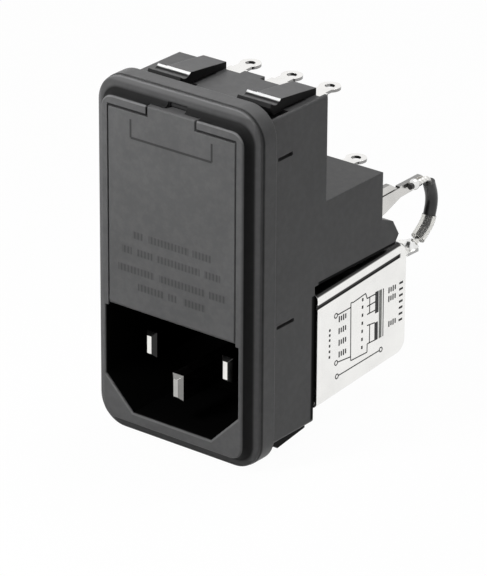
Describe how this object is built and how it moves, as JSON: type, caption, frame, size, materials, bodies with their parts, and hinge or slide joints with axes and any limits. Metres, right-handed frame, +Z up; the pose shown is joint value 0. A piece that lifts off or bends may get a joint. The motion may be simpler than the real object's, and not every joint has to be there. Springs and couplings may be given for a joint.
{
  "type": "c14 panel inlet socket",
  "caption": "Snap-in power entry module: C14 inlet recess, hinged flap over a fuse drawer and voltage selector, ring solder tabs and a metal line filter can with an earth lead.",
  "frame": {"origin": "centre of the panel cut-out on the panel's front face, where the flange seats", "axes": "+X right seen from the front, +Y into the panel, +Z up"},
  "size_m": [0.0296, 0.0471, 0.0553],
  "materials": {
    "housing_plastic": "satin black moulding",
    "flap_plastic": "satin black moulding",
    "drawer_plastic": "satin black moulding",
    "selector_plastic": "pale grey moulding",
    "tinned_tab": "tin plated brass",
    "pin_metal": "nickel plated brass",
    "contact_metal": "bare brass strip",
    "band_metal": "bare brass band",
    "spring_steel": "spring steel",
    "fuse_cap_metal": "nickel plated cap",
    "fuse_glass": "clear glass tube",
    "fuse_wire": "fine wire",
    "can_sheet": "tinned sheet",
    "board_laminate": "laminate",
    "ferrite": "ferrite ring",
    "winding_copper": "enamelled copper",
    "capacitor_yellow": "box capacitor",
    "capacitor_blue": "dipped disc",
    "resistor_coat": "lacquered resistor",
    "lead_metal": "tinned copper strand",
    "black_sleeving": "black sleeve",
    "clear_sleeving": "milky sleeve",
    "solder": "soft solder"
  },
  "bodies": {
    "module": {"black_sleeve": "black_sleeving", "blade_solder": "solder", "bleed_resistor": "resistor_coat", "choke_core": "ferrite", "choke_winding_left": "winding_copper", "choke_winding_right": "winding_copper", "clear_sleeve": "clear_sleeving", "detent_spring": "spring_steel", "earth_blade": "tinned_tab", "earth_pin": "pin_metal", "earth_strap": "contact_metal", "filter_board": "board_laminate", "filter_can": "can_sheet", "housing": "housing_plastic", "jumper_wire": "lead_metal", "line_feed_contact": "contact_metal", "line_out_contact": "contact_metal", "line_pin": "pin_metal", "lower_tab_left": "tinned_tab", "lower_tab_right": "tinned_tab", "lug_solder": "solder", "neutral_feed_contact": "contact_metal", "neutral_out_contact": "contact_metal", "neutral_pin": "pin_metal", "selector_common_contact": "contact_metal", "upper_tab_left": "tinned_tab", "upper_tab_middle": "tinned_tab", "upper_tab_right": "tinned_tab", "x_capacitor": "capacitor_yellow", "y_capacitor_left": "capacitor_blue", "y_capacitor_right": "capacitor_blue"},
    "flap": {"flap": "flap_plastic"},
    "drawer": {"fuse_drawer": "drawer_plastic", "lower_fuse_cap_left": "fuse_cap_metal", "lower_fuse_cap_right": "fuse_cap_metal", "lower_fuse_glass": "fuse_glass", "lower_fuse_element": "fuse_wire", "upper_fuse_cap_left": "fuse_cap_metal", "upper_fuse_cap_right": "fuse_cap_metal", "upper_fuse_glass": "fuse_glass", "upper_fuse_element": "fuse_wire"},
    "selector": {"selector_drum": "selector_plastic", "selector_band": "band_metal"}
  },
  "joints": [
    {"name": "flap_hinge", "type": "hinge", "parent": "module", "child": "flap", "pos_m": [0, -0.0041, -0.0068], "axis": [1, 0, 0], "range_deg": [0, 100]},
    {"name": "fuse_drawer_slide", "type": "slide", "parent": "module", "child": "drawer", "axis": [0, -1, 0], "range_m": [0, 0.014]},
    {"name": "selector_turn", "type": "hinge", "parent": "module", "child": "selector", "pos_m": [0, 0, 0.00245], "axis": [0, 1, 0], "range_deg": [0, 270]}
  ],
  "couplings": [
    {"joint": "fuse_drawer_slide", "follows": "flap_hinge", "m_per_rad": 0.008}
  ]
}
